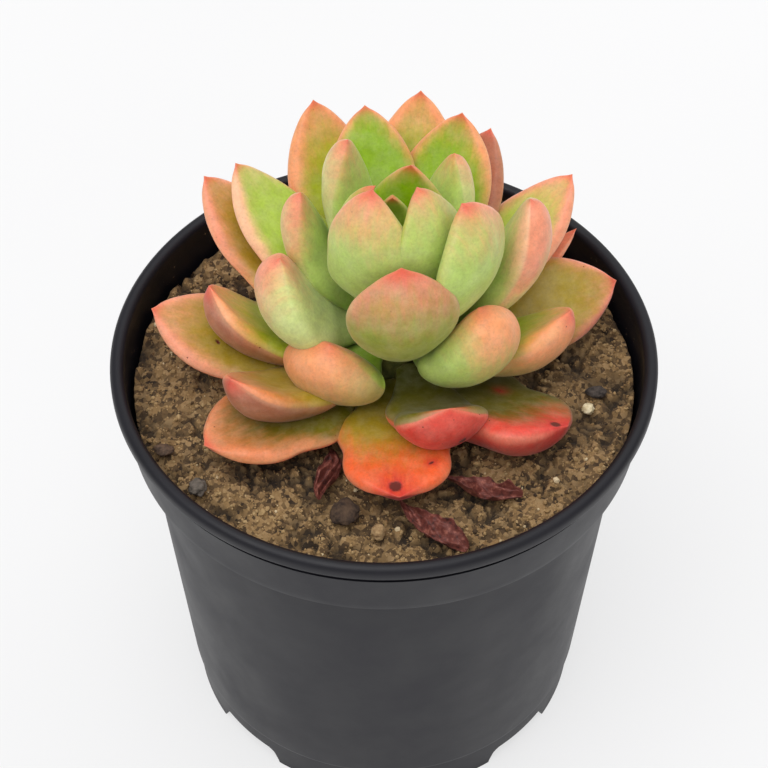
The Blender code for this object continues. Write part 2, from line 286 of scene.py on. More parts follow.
# What is different in single leaves.
POSES = {
    1: dict(roll=8, full=1.2, broad=1.06, sharp=0.0, root=0.6),
    2: dict(full=1.1, broad=0.98, sharp=-0.15, root=0.6),
    3: dict(roll=-20, full=1.5, broad=1.06, sharp=-0.35, root=0.8, keel=0.0),
    4: dict(sag=-3.0, roll=20, broad=0.98, sharp=0.05),
    5: dict(sharp=0.05),
    6: dict(drop=9, broad=0.5, sharp=0.0),
    7: dict(shift=(-2.0, 0.6), sag=2.2, roll=-13, full=1.2, broad=0.92, sharp=-0.4, keel=0.0),
    8: dict(lower=-1.3, sag=2.5, roll=16, full=1.4, sharp=-0.15, keel=0.2),
    9: dict(lower=-1.3, sag=1.0, roll=-20, full=1.35, broad=1.05, sharp=-0.2, keel=0.2),
    10: dict(sag=2.0, roll=15, full=1.4, sharp=-0.1, keel=0.2),
    13: dict(
        shift=(2.0, -1.2), lower=3.6, curl=3.5, swing=-9, roll=14, full=1.15, dome=0.42,
        sharp=0.18, root=0.3,
    ),
    16: dict(
        lower=1.0, curl=4.0, swing=5, roll=-16, full=1.1, broad=0.95, dome=0.42, sharp=0.2,
        root=0.3,
    ),
    17: dict(shift=(-1.0, 0), broad=1.06),
    18: dict(
        shift=(-0.8, 0.4), drop=2, lower=1.6, curl=3.0, roll=4, full=1.15, broad=1.06,
        dome=0.42, sharp=0.24, root=0.2,
    ),
    20: dict(shift=(-1.2, 0), drop=2, curl=2.0, roll=14, full=1.1, broad=0.95, dome=0.42, sharp=0.24),
    21: dict(shift=(0.8, 0), broad=1.12),
    22: dict(drop=2, sag=2.0, curl=1.5, roll=-10, dome=0.42, sharp=0.1),
    23: dict(full=1.15, broad=0.98, sharp=-0.10, root=0.0, keel=0.4),
    24: dict(shift=(2.4, 0), drop=2, curl=1.5, roll=-12, dome=0.45, sharp=0.2),
    26: dict(sag=-1.5, sharp=0.3),
    27: dict(shift=(-1.8, 0), drop=2, curl=1.5, roll=10, dome=0.45, sharp=0.22),
    28: dict(
        shift=(-1.2, 0.6), drop=3, sag=-1.0, curl=1.0, swing=-6, full=1.15,
        broad=1.34, sharp=0.28, root=0.4, keel=0.3,
    ),
    29: dict(sharp=0.3),
    30: dict(
        shift=(-2.2, 3.0), drop=1, sag=-1.8, swing=16, roll=14, full=1.3, broad=1.14,
        sharp=0.18, root=0.35, keel=0.3,
    ),
    31: dict(shift=(-0.9, 2.6), drop=1, sag=-1.2, full=1.2, broad=1.14, sharp=0.26, root=0.5, keel=0.3),
}


SPOKES = 12  # points round a CAD leaf


def leaf_rings(name):
    """The two ends of a CAD leaf, and its rings of points from base to tip.

    Each ring starts at the left margin and goes over the upper face.
    """
    bm = bmesh.new()
    bm.from_mesh(NODES[name].data)
    bmesh.ops.remove_doubles(bm, verts=bm.verts, dist=0.002 * MM)
    poles = [v for v in bm.verts if len(v.link_edges) == SPOKES]
    root = Vector((STEM.x, STEM.y, SOIL_Z))
    base = min(poles, key=lambda v: (v.co - root).length)
    level, rings = {base: 0}, [[base]]
    while len(rings[-1]) > 1 or len(rings) == 1:
        found = []
        for v in rings[-1]:
            for e in v.link_edges:
                other = e.other_vert(v)
                if other not in level:
                    level[other] = len(rings)
                    found.append(other)
        rings.append(found)
    walked = []
    for ring in rings[1:-1]:
        path = [ring[0]]
        while len(path) < len(ring):
            near = [e.other_vert(path[-1]) for e in path[-1].link_edges]
            path.append(next(v for v in near if level[v] == level[ring[0]] and v not in path))
        walked.append(np.array([v.co[:] for v in path]))
    ends = np.array(rings[0][0].co), np.array(rings[-1][0].co)
    bm.free()

    def aligned(ring, like):
        """The turn and direction of ring that lies closest to the one before it."""
        shape = ring - ring.mean(0)
        wanted = (like - like.mean(0)) / np.linalg.norm(like - like.mean(0))
        shape = shape / np.linalg.norm(shape)
        options = [np.roll(np.arange(SPOKES)[::way], k) for k in range(SPOKES) for way in (1, -1)]
        return ring[min(options, key=lambda o: ((shape[o] - wanted) ** 2).sum())]

    for k in range(1, len(walked)):
        walked[k] = aligned(walked[k], walked[k - 1])
    stack = np.array(walked)
    wide = stack[6]  # a ring near the leaf's widest place
    half, quarter = SPOKES // 2, SPOKES // 4
    first = max(range(half), key=lambda j: np.linalg.norm(wide[j] - wide[j + half]))
    middle = (wide[first] + wide[first + half]) / 2
    high, low = wide[(first + quarter) % SPOKES], wide[(first - quarter) % SPOKES]
    step = 1
    if np.linalg.norm(high - middle) > np.linalg.norm(low - middle):
        step, high, low = -1, low, high
    side = wide[first] - wide[first + half]
    if np.dot(np.cross(ends[1] - ends[0], side), high - low) < 0:
        first, step = first + half, -step
    order = (first + step * np.arange(SPOKES)) % SPOKES
    return ends, stack[:, order]


def leaf_material(name, style):
    """Waxy skin that blends its colours by the attributes from leaf_colours."""
    top_a, top_b, _, low_a, low_b, _, _, _ = style
    n = Nodes(name)
    # streaks run along the leaf, so their noise is read in the leaf's own directions
    lay = n.add("ShaderNodeCombineXYZ")
    n.link(n.attribute("across"), lay.inputs[0])
    n.link(n.math("MULTIPLY", n.attribute("along"), 0.28), lay.inputs[1])
    patch = n.noise(7 * MM, 4.0, 0.55)
    streak = n.noise(1.0 * MM, 4.0, 0.62, place=lay.outputs[0])
    wander = n.math("MULTIPLY", n.math("SUBTRACT", patch, 0.5), 0.42)
    veins = n.math("MULTIPLY", n.math("SUBTRACT", streak, 0.5), 0.50)
    blush = n.math("ADD", n.attribute("blush"), n.math("ADD", wander, veins), clamp=True)
    over = n.ramp(blush, [(0.05, 0.0), (0.95, 1.0)])
    top = n.mix(over, COLOURS[top_a], COLOURS[top_b])
    low = n.mix(over, COLOURS[low_a], COLOURS[low_b])
    colour = n.mix(n.attribute("under"), top, low)
    # painted shade: towards its base, deep in the rosette, the leaf is darkened
    deep = n.mix(1.0, colour, (0.46, 0.58, 0.30, 1.0), "MULTIPLY")
    colour = n.mix(n.attribute("base"), colour, deep)
    mottle = n.ramp(n.noise(2.2 * MM, 3.0, 0.6), [(0.34, 0.90), (0.66, 1.06)], "LINEAR")
    colour = n.mix(1.0, colour, mottle, "MULTIPLY")
    # the waxy bloom, worn off in patches
    bloom = n.ramp(n.noise(3.4 * MM, 5.0, 0.68), [(0.40, 0.0), (0.72, 0.12)], "LINEAR")
    colour = n.mix(bloom, colour, COLOURS["wax"])
    red_tip = COLOURS["red"] if top_b in ("coral", "orange", "rose") else COLOURS["coral"]
    colour = n.mix(n.attribute("tip"), colour, red_tip)
    colour = n.mix(n.attribute("rim"), colour, COLOURS["cream"])
    flush = n.math("MULTIPLY", n.attribute("flush"), n.ramp(streak, [(0.3, 0.35), (0.6, 0.95)]))
    colour = n.mix(flush, colour, COLOURS["red"])
    grain = n.ramp(n.noise(0.5 * MM, 2.0, 0.7), [(0.30, 0.90), (0.48, 1.0), (0.74, 1.07)], "LINEAR")
    colour = n.mix(1.0, colour, grain, "MULTIPLY")
    specks = n.math("LESS_THAN", n.cells(2.6 * MM), 0.060)
    allowed = n.math("GREATER_THAN", n.noise(9 * MM, 1.0), 0.54)
    specks = n.math("MULTIPLY", n.math("MULTIPLY", specks, allowed), n.attribute("speckle"))
    colour = n.mix(specks, colour, srgb(120, 60, 36))
    wound = n.ramp(
        n.math("MULTIPLY", n.attribute("scar"), n.math("ADD", n.noise(0.6 * MM, 3.0, 0.6), 0.45)),
        [(0.22, 0.0), (0.60, 1.0)],
    )
    colour = n.mix(wound, colour, srgb(104, 40, 34))
    rough = n.ramp(n.noise(1.6 * MM, 3.0, 0.6), [(0.3, 0.32), (0.7, 0.48)], "LINEAR")
    skin = n.bump(n.noise(0.45 * MM, 2.0, 0.5), 0.02 * MM, 0.5)
    skin = n.bump(patch, 0.35 * MM, 0.35, skin)
    skin = n.bump(streak, 0.05 * MM, 0.5, skin)
    skin = n.bump(n.math("SUBTRACT", 1.0, wound), 0.15 * MM, 0.8, skin)
    return n.finish(
        Base_Color=colour, Roughness=rough, Normal=skin,
        Subsurface_Weight=0.24, Subsurface_Scale=1.8 * MM, Subsurface_Radius=(1.0, 0.6, 0.3),
        Sheen_Weight=0.10, Sheen_Roughness=0.4, Specular_IOR_Level=0.42, IOR=1.42,
    )


# Healed marks: leaf, share of the length, place across (-1 right margin, 1 left), on the underside?,
# and radius in millimetres.
SCARS = [
    (2, 0.92, -0.05, False, 1.0),
    (2, 0.74, 0.55, False, 0.35),
    (3, 0.95, -0.12, False, 0.8),
    (3, 0.50, 0.30, False, 0.4),
    (5, 0.62, -0.10, False, 0.4),
    (5, 0.68, 0.25, False, 0.35),
    (5, 0.56, -0.35, False, 0.3),
    (7, 0.80, 0.35, True, 0.6),
    (8, 0.70, 0.10, True, 0.4),
    (10, 0.70, 0.35, True, 0.9),
    (13, 0.60, 0.10, False, 0.35),
    (16, 0.55, -0.40, False, 0.4),
    (18, 0.50, -0.30, False, 0.6),
    (22, 0.60, -0.20, False, 0.35),
]
FLUSHED = (2, 3, 7)  # the leaves that are red round their scars


def scars(leaf, along, across, sin, half_width):
    """Share of scar tissue, and of the red flush round it, at each point of a leaf; places in metres."""
    out = np.zeros(across.shape)
    flush = np.zeros(across.shape)
    for where, at, side, below, radius in SCARS:
        if where == leaf:
            facing = (sin < 0) if below else (sin >= 0)
            apart = np.hypot(along - at * along.max(), across - side * half_width.max()) / MM
            out += np.exp(-((apart / (1.3 * radius)) ** 2)) * facing[None, :]
            flush += np.exp(-((apart / (3.6 * radius)) ** 2)) * (leaf in FLUSHED)
    return np.clip(out, 0, 1), np.clip(flush, 0, 1)


def leaf_spine(name, pose, t):
    """The leaf's middle line, left direction, upper direction, half width, rise and depth at each t."""
    ends, rings = leaf_rings(name)
    left, crown, right, keel = (rings[:, k * SPOKES // 4] for k in range(4))
    middle = np.vstack([ends[0], (left + right) / 2, ends[1]])
    reach = np.concatenate([[0.0], np.cumsum(np.linalg.norm(np.diff(middle, axis=0), axis=1))])
    length = reach[-1]
    place = reach / length
    across = unit(left - right)
    across = np.vstack([across[:1], across, across[-1:]])
    half = np.concatenate([[0.0], np.linalg.norm(left - right, axis=1) / 2, [0.0]])
    tangent = unit(np.gradient(middle, reach, axis=0))
    normal = unit(np.cross(tangent, across))
    up = np.concatenate([[0.0], ((crown - middle[1:-1]) * normal[1:-1]).sum(1), [0.0]])
    down = np.concatenate([[0.0], ((middle[1:-1] - keel) * normal[1:-1]).sum(1), [0.0]])

    mid = spline(place, middle, t)
    side = unit(spline(place, across, t))
    nrm = spline(place, normal, t)
    swing = math.radians(pose["swing"]) * smooth(0.0, 0.7, t)
    from_stem = mid - np.array(STEM)
    mid[:, 0] = STEM.x + from_stem[:, 0] * np.cos(swing) - from_stem[:, 1] * np.sin(swing)
    mid[:, 1] = STEM.y + from_stem[:, 0] * np.sin(swing) + from_stem[:, 1] * np.cos(swing)
    mid[:, :2] += np.array(pose["shift"]) * MM * smooth(0.15, 1.0, t)[:, None]
    mid[:, 2] -= MM * (pose["drop"] * (1 - t) + pose["lower"] * smooth(0.0, 0.5, t))
    mid += nrm * (pose["curl"] * MM * smooth(0.45, 1.1, t) - pose["sag"] * MM * np.sin(np.pi * t))[:, None]
    nrm = unit(np.cross(unit(np.gradient(mid, t, axis=0)), side))
    rolled = (math.radians(pose["roll"]) * smooth(0.0, 0.4, t))[:, None]
    side, nrm = side * np.cos(rolled) + nrm * np.sin(rolled), nrm * np.cos(rolled) - side * np.sin(rolled)

    pinch = 1 - 0.30 * smooth(0.955, 0.992, t)  # makes the small point at the tip
    wide = np.maximum(spline(place, half, t), 0) * pinch * pose["broad"]
    wide *= 1 + pose["root"] * smooth(0.0, 0.2, t) * smooth(0.62, 0.30, t)
    wide *= 1 - pose["sharp"] * smooth(0.55, 0.95, t)
    rise = np.maximum(spline(place, up, t), 0) * pinch
    deep = np.maximum(spline(place, down, t), 0) * pinch * pose["full"]
    return length, mid, side, nrm, wide, rise, deep


def leaf_section(pose, t, wide, rise, deep, cos, sin):
    """Height of the skin over the middle line, round each section."""
    dome = pose["dome"]
    blunt = np.minimum(1.2 * MM, 0.2 * wide) * smooth(0.1, 0.4, t) * (dome == 0)
    dish = np.abs(sin) ** 0.6 * (1 - 0.55 * sin**2) / 0.45
    ridge = ((0.10 + 0.35 * smooth(0.35, 0.95, t)) * (dome == 0) * pose["keel"])[:, None]
    crease = (1 - np.sqrt(cos**2 + 0.006)) / (1 - 0.0775)
    belly = np.clip((1 - ridge) * np.abs(sin) ** (1.0 if dome else 1.15) + ridge * crease, 0, None)
    dish = np.maximum(rise[:, None] * dish, dome * wide[:, None] * np.abs(sin))
    return np.where(sin > 0, dish, -deep[:, None] * belly) - blunt[:, None] * np.abs(cos) ** 8


def leaf_colours(leaf, style, domed, inner, length, wide, cos, sin):
    """The attributes that the skin's material reads, for all points but the two ends."""
    _, _, top_at, _, _, low_at, margin, lean = style
    under = smooth(0.02, -0.06, sin)[None, :]
    at = top_at + (low_at - top_at) * under
    edge = (np.abs(cos) ** 3)[None, :]
    blush = 0.5 + (inner - at) / 0.5 + margin * (edge * 1.9 - 0.35)
    blush = np.clip(blush + lean * 1.5 * (cos * np.abs(cos))[None, :], -0.2, 1.2)
    gap = (1 - np.abs(cos))[None, :] * wide[:, None] / MM
    rim = np.exp(-((gap / 0.35) ** 2)) * smooth(0.3, 0.6, inner) * (0.0 if domed else 0.14)
    tip_gap = (1 - inner) * length / MM
    tip = np.exp(-((tip_gap / (1.1 if domed else 1.5)) ** 2)) * (0.45 if domed else 0.85)
    across = wide[:, None] * cos[None, :]
    scar, flush = scars(leaf, inner * length, across, sin, wide)
    speckle = 0.0 * inner + (1.0 if leaf <= 10 else 0.25)

    def field(values, first, final):
        """All points of the skin: the base, the rings and the tip."""
        return np.concatenate([[first], np.broadcast_to(values, (ALONG - 1, AROUND)).ravel(), [final]])

    return {
        "blush": field(blush, -0.2, 1.2),
        "under": field(under, 0.5, 0.5),
        "rim": field(rim, 0.0, 0.2),
        "tip": field(tip, 0.0, 1.0),
        # painted shade mask, full at the base and gone by 0.45 of the length
        "base": field(smooth(0.45, 0.05, inner), 1.0, 0.0),
        "speckle": field(speckle, 0.0, 0.0),
        "scar": field(scar, 0.0, 0.0),
        "flush": field(flush, 0.0, 0.0),
        "across": field(across, 0.0, 0.0),
        "along": field(inner * length, 0.0, length),
    }


def leaf_faces():
    """Faces of a skin whose points are the base, ALONG - 1 rings of AROUND points, and the tip."""
    faces = []
    end = 1 + (ALONG - 2) * AROUND
    for j in range(AROUND):
        k = (j + 1) % AROUND
        faces.append((0, 1 + k, 1 + j))
        for i in range(ALONG - 2):
            a, b = 1 + i * AROUND, 1 + (i + 1) * AROUND
            faces.append((a + j, a + k, b + k, b + j))
        faces.append((end + j, end + k, end + AROUND))
    return faces


def build_leaf(order, style):
    """The living skin of one leaf, drawn over its CAD solid. order is 0 for the lowest leaf."""
    leaf = order + 1
    name = f"leaf_{leaf:02d}"
    pose = {**PLAIN, **POSES.get(leaf, {})}
    even = np.linspace(0, 1, ALONG + 1)
    t = 0.6 * (0.5 - 0.5 * np.cos(np.pi * even)) + 0.4 * even  # closer together near both ends
    length, mid, side, nrm, wide, rise, deep = leaf_spine(name, pose, t)
    turn = np.linspace(0, 2 * np.pi, AROUND, endpoint=False)
    cos, sin = np.cos(turn), np.sin(turn)
    height = leaf_section(pose, t, wide, rise, deep, cos, sin)

    # gentle swellings and dents
    seed = Vector((order * 7.3, 0.0, 0.0))
    rows = []
    for i in range(1, ALONG):
        row = []
        for j in range(AROUND):
            p = mid[i] + side[i] * wide[i] * cos[j] + nrm[i] * height[i, j]
            lump = noise.noise(Vector(p) / (8.5 * MM) + seed)
            lump = lump + 0.4 * noise.noise(Vector(p) / (3.6 * MM) + seed)
            out = side[i] * cos[j] * 0.35 + nrm[i] * (1.0 if sin[j] > 0 else -1.0) * abs(sin[j])
            row.append(p + out * lump * 0.26 * MM * min(1.0, wide[i] / (4 * MM)))
        rows.append(row)
    points = np.concatenate([mid[:1], np.array(rows).reshape(-1, 3), mid[-1:]])

    inner = t[1:-1, None]
    attributes = leaf_colours(leaf, style, bool(pose["dome"]), inner, length, wide[1:-1], cos, sin)
    material = leaf_material(f"skin_{leaf:02d}", style)
    piece(name + "_skin", points, leaf_faces(), material, (name,), attributes)


for order, style in enumerate(STYLES):
    build_leaf(order, style)


# ---- pot ----
def pot_material():
    n = Nodes("black_plastic")
    fine = n.noise(0.35 * MM, 2.0, 0.6)
    cloud = n.noise(14 * MM, 4.0, 0.6)
    colour = n.ramp(cloud, [(0.3, srgb(11, 10, 18)), (0.7, srgb(18, 17, 26))], "LINEAR")
    dust = n.math("GREATER_THAN", n.noise(0.8 * MM, 2.0, 0.7), 0.70)
    where = n.math("GREATER_THAN", n.noise(11 * MM, 3.0, 0.6), 0.52)
    dusty = n.math("MULTIPLY", n.math("MULTIPLY", dust, where), n.attribute("inside"))
    colour = n.mix(dusty, colour, srgb(150, 130, 105))
    rough = n.ramp(cloud, [(0.3, 0.42), (0.7, 0.54)], "LINEAR")
    normal = n.bump(fine, 0.02 * MM, 0.5)
    n.shader.inputs["Specular IOR Level"].default_value = 0.36
    return n.finish(Base_Color=colour, Roughness=rough, Normal=normal)


def circle(r, z, steps):
    """Points round the Z axis."""
    turn = np.linspace(0, math.tau, steps, endpoint=False)
    return [(r * math.cos(a), r * math.sin(a), z) for a in turn]


def turned_rings(profile, steps):
    """Points and faces of a profile of (radius, height) turned about Z; a zero radius closes it."""
    points, rows = [], []
    for r, z in profile:
        if r == 0:
            rows.append([len(points)])
            points.append((0.0, 0.0, z))
            continue
        rows.append(list(range(len(points), len(points) + steps)))
        points += circle(r, z, steps)
    faces = []
    for a, b in zip(rows, rows[1:]):
        for k in range(steps):
            m = (k + 1) % steps
            if len(a) == 1:
                faces.append((a[0], b[m], b[k]))
            elif len(b) == 1:
                faces.append((a[k], a[m], b[0]))
            else:
                faces.append((a[k], a[m], b[m], b[k]))
    return points, faces


def arc(centre, radius, start, end, count):
    """Points round a circle in the profile plane, angles in degrees."""
    return [
        (centre[0] + radius * math.cos(math.radians(a)), centre[1] + radius * math.sin(math.radians(a)))
        for a in np.linspace(start, end, count)
    ]


WALL = 1.4 * MM
LIP_PROUD = 0.9 * MM  # how far the lip stands out from the band under it
LIP_HEIGHT = 3.0 * MM
LIP_ROUND = 1.35 * MM  # radius of the rolled lip
BAND_HEIGHT = 15.5 * MM
BAND_TAPER = 1.6 * MM
BAND_STEP = 3.0 * MM
FOOT_SHARE = 82 / 105  # foot radius over lip radius
FOOT_HEIGHT = 9 * MM
FLOOR_UNDER = 5 * MM
FLOOR_Z = 6.8 * MM
NOTCH_REACH, NOTCH_WIDTH, NOTCH_HEIGHT = 16 * MM, 20 * MM, 4.6 * MM
NOTCH_TOP_SHARE = 0.72  # width of a notch at its top over its width at the ground
DRAIN_RADIUS = 4.5 * MM
DRAIN_CIRCLE = 24 * MM

BAND_TOP = RIM - LIP_PROUD
BAND_LOW = BAND_TOP - BAND_TAPER
BODY_TOP = BAND_LOW - BAND_STEP
LIP_Z = POT_HEIGHT - LIP_HEIGHT
STEP_Z = POT_HEIGHT - BAND_HEIGHT
BASE = RIM * FOOT_SHARE


def body_radius(z):
    """Outer radius of the tapering wall at a height."""
    return BASE + (BODY_TOP - BASE) * z / STEP_Z


def pot_profile():
    """Radius and height along the pot's section, from under the floor, over the lip, to the floor."""
    line = [
        (0.0, FLOOR_UNDER),
        (BASE - WALL - 1.0 * MM, FLOOR_UNDER),
        (BASE - WALL - 0.4 * MM, 0.0),
        (BASE - 0.3 * MM, 0.0),
        (BASE, 0.3 * MM),
    ]
    line += [(body_radius(z) - 0.1 * MM, z) for z in np.linspace(1 * MM, FOOT_HEIGHT, 5)]
    # the wall stands a little proud of the foot and runs into the step
    line += [
        (body_radius(FOOT_HEIGHT) + 0.15 * MM, FOOT_HEIGHT + 0.12 * MM),
        (body_radius(FOOT_HEIGHT) + 0.3 * MM, FOOT_HEIGHT + 0.5 * MM),
    ]
    line += [
        (body_radius(z) + 0.3 * MM * (STEP_Z - z) / (STEP_Z - FOOT_HEIGHT), z)
        for z in np.linspace(FOOT_HEIGHT + 1 * MM, STEP_Z - 1.2 * MM, 14)
    ]
    line += [
        (BODY_TOP, STEP_Z - 0.3 * MM),
        (BODY_TOP + 0.5 * MM, STEP_Z - 0.05 * MM),
        (BAND_LOW - 0.5 * MM, STEP_Z + 0.05 * MM),
        (BAND_LOW - 0.1 * MM, STEP_Z + 0.25 * MM),
        (BAND_LOW, STEP_Z + 0.6 * MM),
    ]
    line += [
        (BAND_LOW + (BAND_TOP - BAND_LOW) * s, STEP_Z + 0.6 * MM + (LIP_Z - STEP_Z - 0.9 * MM) * s)
        for s in np.linspace(0.1, 0.86, 8)
    ]
    # the groove under the lip
    line += [
        (BAND_TOP - 0.20 * MM, LIP_Z - 1.75 * MM),
        (BAND_TOP - 0.55 * MM, LIP_Z - 1.70 * MM),
        (BAND_TOP - 0.80 * MM, LIP_Z - 1.30 * MM),
        (BAND_TOP - 0.80 * MM, LIP_Z - 0.30 * MM),
        (BAND_TOP - 0.45 * MM, LIP_Z + 0.12 * MM),
    ]
    line += [(RIM - 0.5 * MM, LIP_Z + 0.18 * MM)]
    line += [
        (RIM - 0.5 * MM + 0.5 * MM * math.sin(a), LIP_Z + 0.68 * MM - 0.5 * MM * math.cos(a))
        for a in (0.5, 1.0, 1.5)
    ]
    line += arc((RIM - LIP_ROUND, POT_HEIGHT - LIP_ROUND), LIP_ROUND, 4, 176, 15)
    # down the inside
    line += [
        (RIM - 2.68 * MM, POT_HEIGHT - 1.9 * MM),
        (BAND_TOP - WALL - 0.3 * MM, LIP_Z - 0.6 * MM),
        (BAND_TOP - WALL - 0.2 * MM, LIP_Z - 2.0 * MM),
        (BAND_LOW - WALL, STEP_Z + 0.6 * MM),
        (BODY_TOP - WALL, STEP_Z - 0.4 * MM),
        (body_radius(FLOOR_Z) - WALL, FLOOR_Z + 0.8 * MM),
        (body_radius(FLOOR_Z) - WALL - 0.8 * MM, FLOOR_Z),
        (0.0, FLOOR_Z),
    ]
    return line


def on_the_inside(points):
    """1 for the points of the pot's inner wall, where dust clings, and 0 for the rest."""
    radius, z = np.hypot(points[:, 0], points[:, 1]), points[:, 2]
    up_the_band = np.clip((z - STEP_Z) / (LIP_Z - STEP_Z), 0, 1)
    outer = np.where(z > STEP_Z, BAND_LOW + (BAND_TOP - BAND_LOW) * up_the_band, body_radius(z))
    return ((radius < outer - 0.75 * WALL) & (z > 8 * MM) & (z < LIP_Z)).astype(float)


def cutter(name, mesh_maker, place, turn=0.0):
    """A shape to take out of the pot."""
    bm = bmesh.new()
    mesh_maker(bm)
    mesh = bpy.data.meshes.new(name)
    bm.to_mesh(mesh)
    bm.free()
    made = bpy.data.objects.new(name, mesh)
    made.location = place
    made.rotation_euler.z = turn
    bpy.context.scene.collection.objects.link(made)
    return made


def notch(bm):
    """A gap in the foot ring, narrower and rounded at its top."""
    bmesh.ops.create_cube(bm, size=1.0)
    bmesh.ops.scale(bm, verts=bm.verts, vec=(NOTCH_REACH, NOTCH_WIDTH, 2 * NOTCH_HEIGHT))
    for v in bm.verts:
        if v.co.z > 0:
            v.co.y *= NOTCH_TOP_SHARE
    upper = [e for e in bm.edges if all(v.co.z > 0 for v in e.verts)]
    lengthways = [e for e in upper if abs(e.verts[0].co.y - e.verts[1].co.y) < 1e-6]
    bmesh.ops.bevel(bm, geom=lengthways, offset=1.6 * MM, segments=5, affect="EDGES", profile=0.5)


def drain(bm):
    bmesh.ops.create_cone(
        bm, cap_ends=True, segments=40, radius1=DRAIN_RADIUS, radius2=DRAIN_RADIUS, depth=8 * MM
    )


def build_pot():
    """The turned shell, less its notches and drain holes."""
    points, faces = turned_rings(pot_profile(), 192)
    attributes = {"inside": on_the_inside(np.array(points))}
    pot = piece("pot_shell", points, faces, pot_material(), ("pot",), attributes)
    cutters = []
    for k in range(4):
        at = math.radians(45 + 90 * k)
        cutters.append(cutter(f"notch_{k}", notch, (BASE * math.cos(at), BASE * math.sin(at), 0.0), at))
    for k in range(5):
        at = math.radians(45 + 90 * k)
        out = 0.0 if k == 4 else DRAIN_CIRCLE
        cutters.append(cutter(f"drain_{k}", drain, (out * math.cos(at), out * math.sin(at), 5.9 * MM)))
    for made in cutters:
        boolean = pot.modifiers.new(made.name, "BOOLEAN")
        boolean.operation = "DIFFERENCE"
        boolean.solver = "EXACT"
        boolean.object = made
    shape = bpy.data.meshes.new_from_object(pot.evaluated_get(bpy.context.evaluated_depsgraph_get()))
    pot.modifiers.clear()
    pot.data = shape
    for made in cutters:
        bpy.data.objects.remove(made)
    shape.set_sharp_from_angle(angle=math.radians(38))


build_pot()


# ---- soil ----
SOIL_RADIUS = BAND_LOW - WALL - 0.1 * MM


def three_noises(p):
    """Three unlike noises as a vector. noise.noise_vector gives other values in every run."""
    return Vector([noise.noise(p + Vector((0.0, 0.0, 17.3 * k))) for k in (1, 2, 3)])


def ground(x, y):
    """Height of the rough soil and how deep it lies in a crack, 0 to 1; the depth also sets the painted
    shade in the cracks.
    """
    p = Vector((x, y, 0.0))
    broad, middling = noise.noise(p / (9 * MM)), noise.noise(p / (3.9 * MM) + Vector((3.1, 0.7, 5.0)))
    coarse = 0.8 * MM * (broad + 0.5 * middling)
    bent = p / (4.6 * MM) + 0.55 * three_noises(p / (3.0 * MM)) + Vector((0.3, 0.9, 2.0))
    near, next_near = noise.voronoi(bent)[0][:2]
    open_here = 0.5 + 1.6 * noise.noise(p / (9 * MM) + Vector((5.0, 1.0, 8.0)))
    pit = max(0.0, 1 - (next_near - near) / 0.30) * min(1.0, max(0.0, open_here))
    clump = 0.55 * MM * noise.noise(p / (1.9 * MM) + Vector((9.0, 2.0, 1.0)))
    fine = 0.30 * MM * noise.noise(p / (0.7 * MM) + Vector((1.0, 5.0, 2.0)))
    return SOIL_Z + coarse + clump + fine - 1.7 * MM * pit - 0.3 * MM, pit


def soil_material():
    n = Nodes("soil_grit")
    patch = n.noise(6 * MM, 4.0, 0.65)
    grain = n.cells(0.9 * MM, output="Color")
    split = n.add("ShaderNodeSeparateColor")
    n.link(grain, split.inputs[0])
    tone = n.math("ADD", n.math("MULTIPLY", split.outputs[0], 0.55), n.math("MULTIPLY", patch, 0.5))
    colour = n.ramp(
        tone,
        [
            (0.18, srgb(52, 39, 26)),
            (0.38, srgb(96, 74, 48)),
            (0.58, srgb(140, 111, 72)),
            (0.80, srgb(158, 129, 90)),
            (0.95, srgb(182, 156, 116)),
        ],
    )
    # painted shade: the soil down in the cracks is darkened almost to black
    colour = n.mix(n.attribute("pit"), colour, srgb(30, 23, 17))
    height = n.cells(0.9 * MM)
    normal = n.bump(height, 0.25 * MM, 0.8)
    normal = n.bump(n.noise(0.4 * MM, 3.0, 0.7), 0.12 * MM, 0.7, normal)
    return n.finish(Base_Color=colour, Roughness=0.95, Normal=normal)


def grit_material():
    n = Nodes("grit_grains")
    # the tone attribute is each grain's own tone, darkened in the cracks as painted shade
    tone = n.math("ADD", n.attribute("tone"), n.math("MULTIPLY", n.noise(0.5 * MM, 3.0, 0.6), 0.16))
    colour = n.ramp(
        tone,
        [
            (0.06, srgb(48, 36, 26)),
            (0.24, srgb(92, 70, 46)),
            (0.48, srgb(143, 113, 73)),
            (0.70, srgb(170, 140, 96)),
            (0.90, srgb(190, 163, 120)),
            (1.0, srgb(220, 200, 162)),
        ],
        "LINEAR",
    )
    normal = n.bump(n.noise(0.22 * MM, 3.0, 0.7), 0.06 * MM, 0.8)
    return n.finish(Base_Color=colour, Roughness=0.9, Normal=normal)


